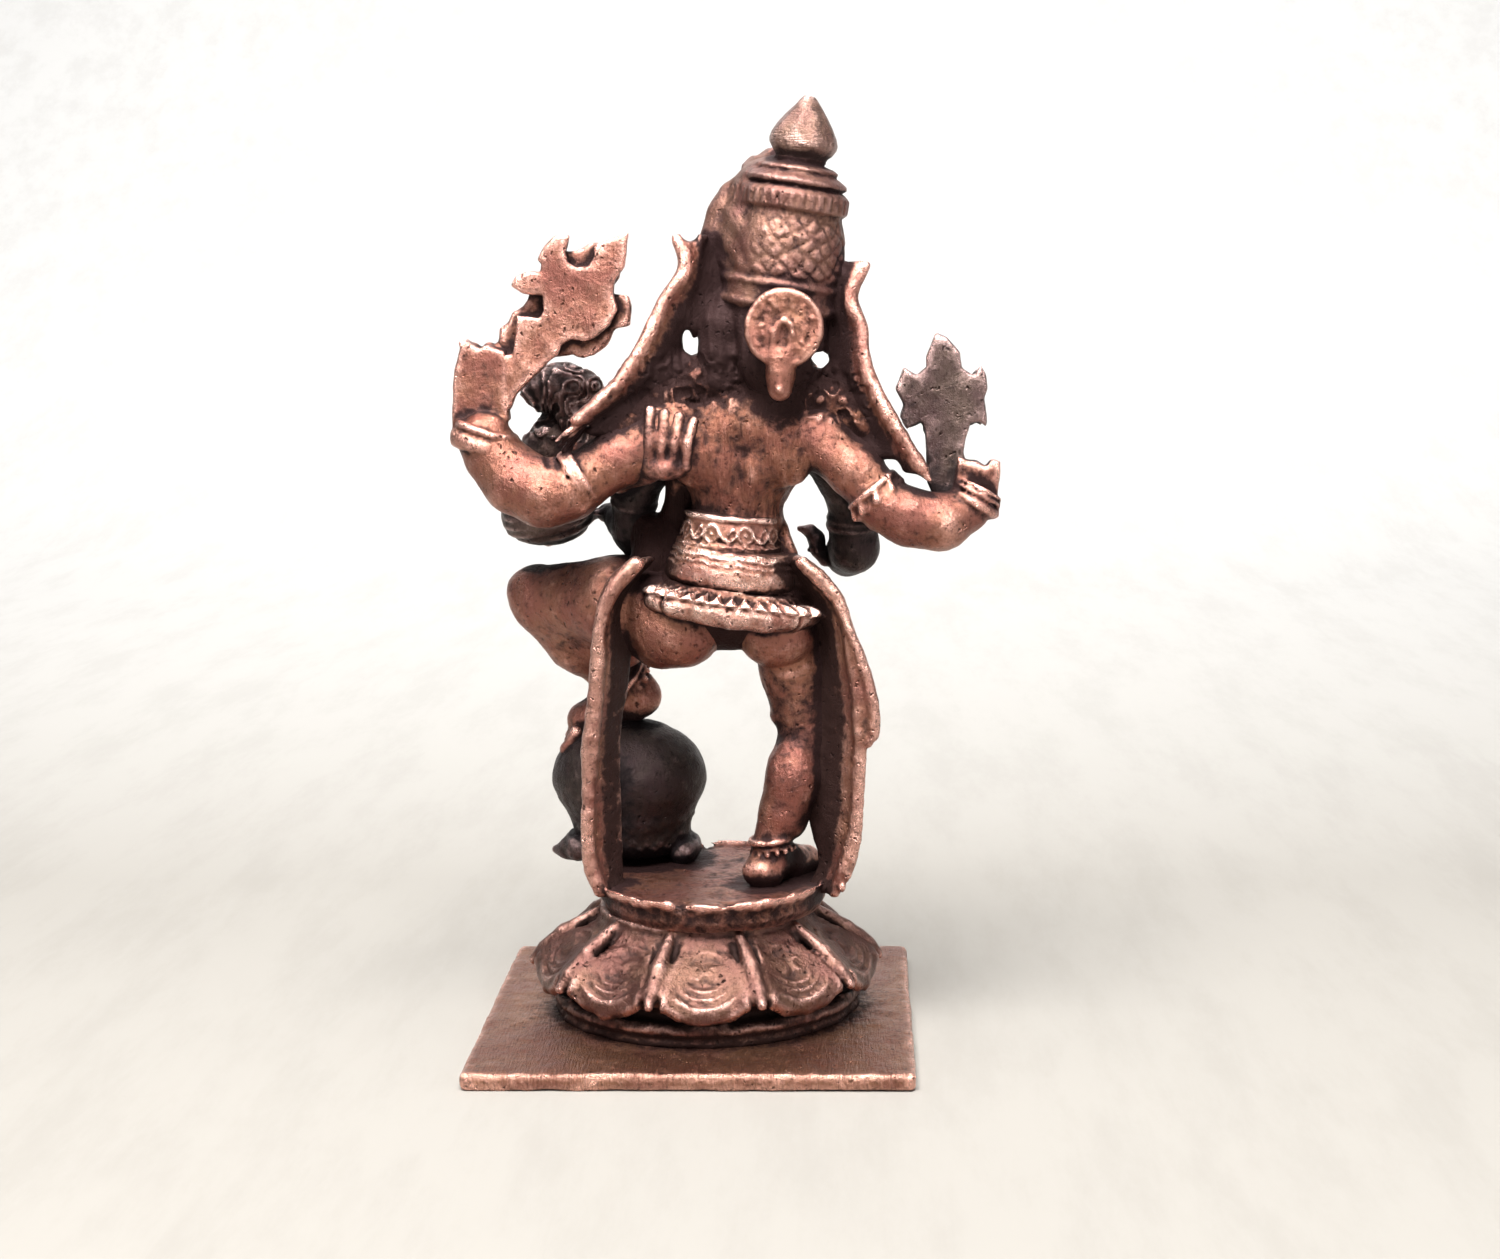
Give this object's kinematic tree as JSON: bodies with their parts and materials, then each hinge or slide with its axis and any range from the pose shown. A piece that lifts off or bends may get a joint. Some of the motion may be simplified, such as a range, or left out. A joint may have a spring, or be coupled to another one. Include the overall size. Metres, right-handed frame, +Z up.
{
  "type": "four-armed standing icon",
  "caption": "Small cast copper icon: crowned many-armed figure with a seated companion on its arm and a raised foot on a coiled serpent, on a lotus pedestal and a square plinth.",
  "frame": {"origin": "centre of the plinth's underside", "axes": "+Z up; the figure faces -Y; its left side is +X"},
  "size_m": [0.0574, 0.046, 0.0992],
  "materials": {
    "body_copper": "cast copper, reddish brown patina, pitted, dark in the recesses",
    "worn_copper": "cast copper worn bright on raised edges",
    "dark_copper": "cast copper under a dark brown patina"
  },
  "bodies": {
    "root": {"plinth": "body_copper", "lotus_pedestal": "body_copper", "ground_plate": "body_copper", "serpent_footrest": "dark_copper", "torso": "body_copper", "right_leg": "body_copper", "left_leg": "body_copper", "head": "body_copper", "crown": "body_copper", "crown_finial": "worn_copper", "head_disc": "worn_copper", "necklace": "worn_copper", "left_rear_arm": "body_copper", "right_rear_arm": "body_copper", "left_front_arm": "dark_copper", "right_front_arm": "dark_copper", "waist_band": "worn_copper", "hip_roll": "worn_copper", "scalloped_girdle": "worn_copper", "left_emblem": "body_copper", "right_emblem": "dark_copper", "consort": "dark_copper", "consort_arm": "body_copper", "left_scarf": "body_copper", "right_scarf": "body_copper", "left_sash": "worn_copper", "right_sash": "worn_copper"}
  },
  "joints": []
}
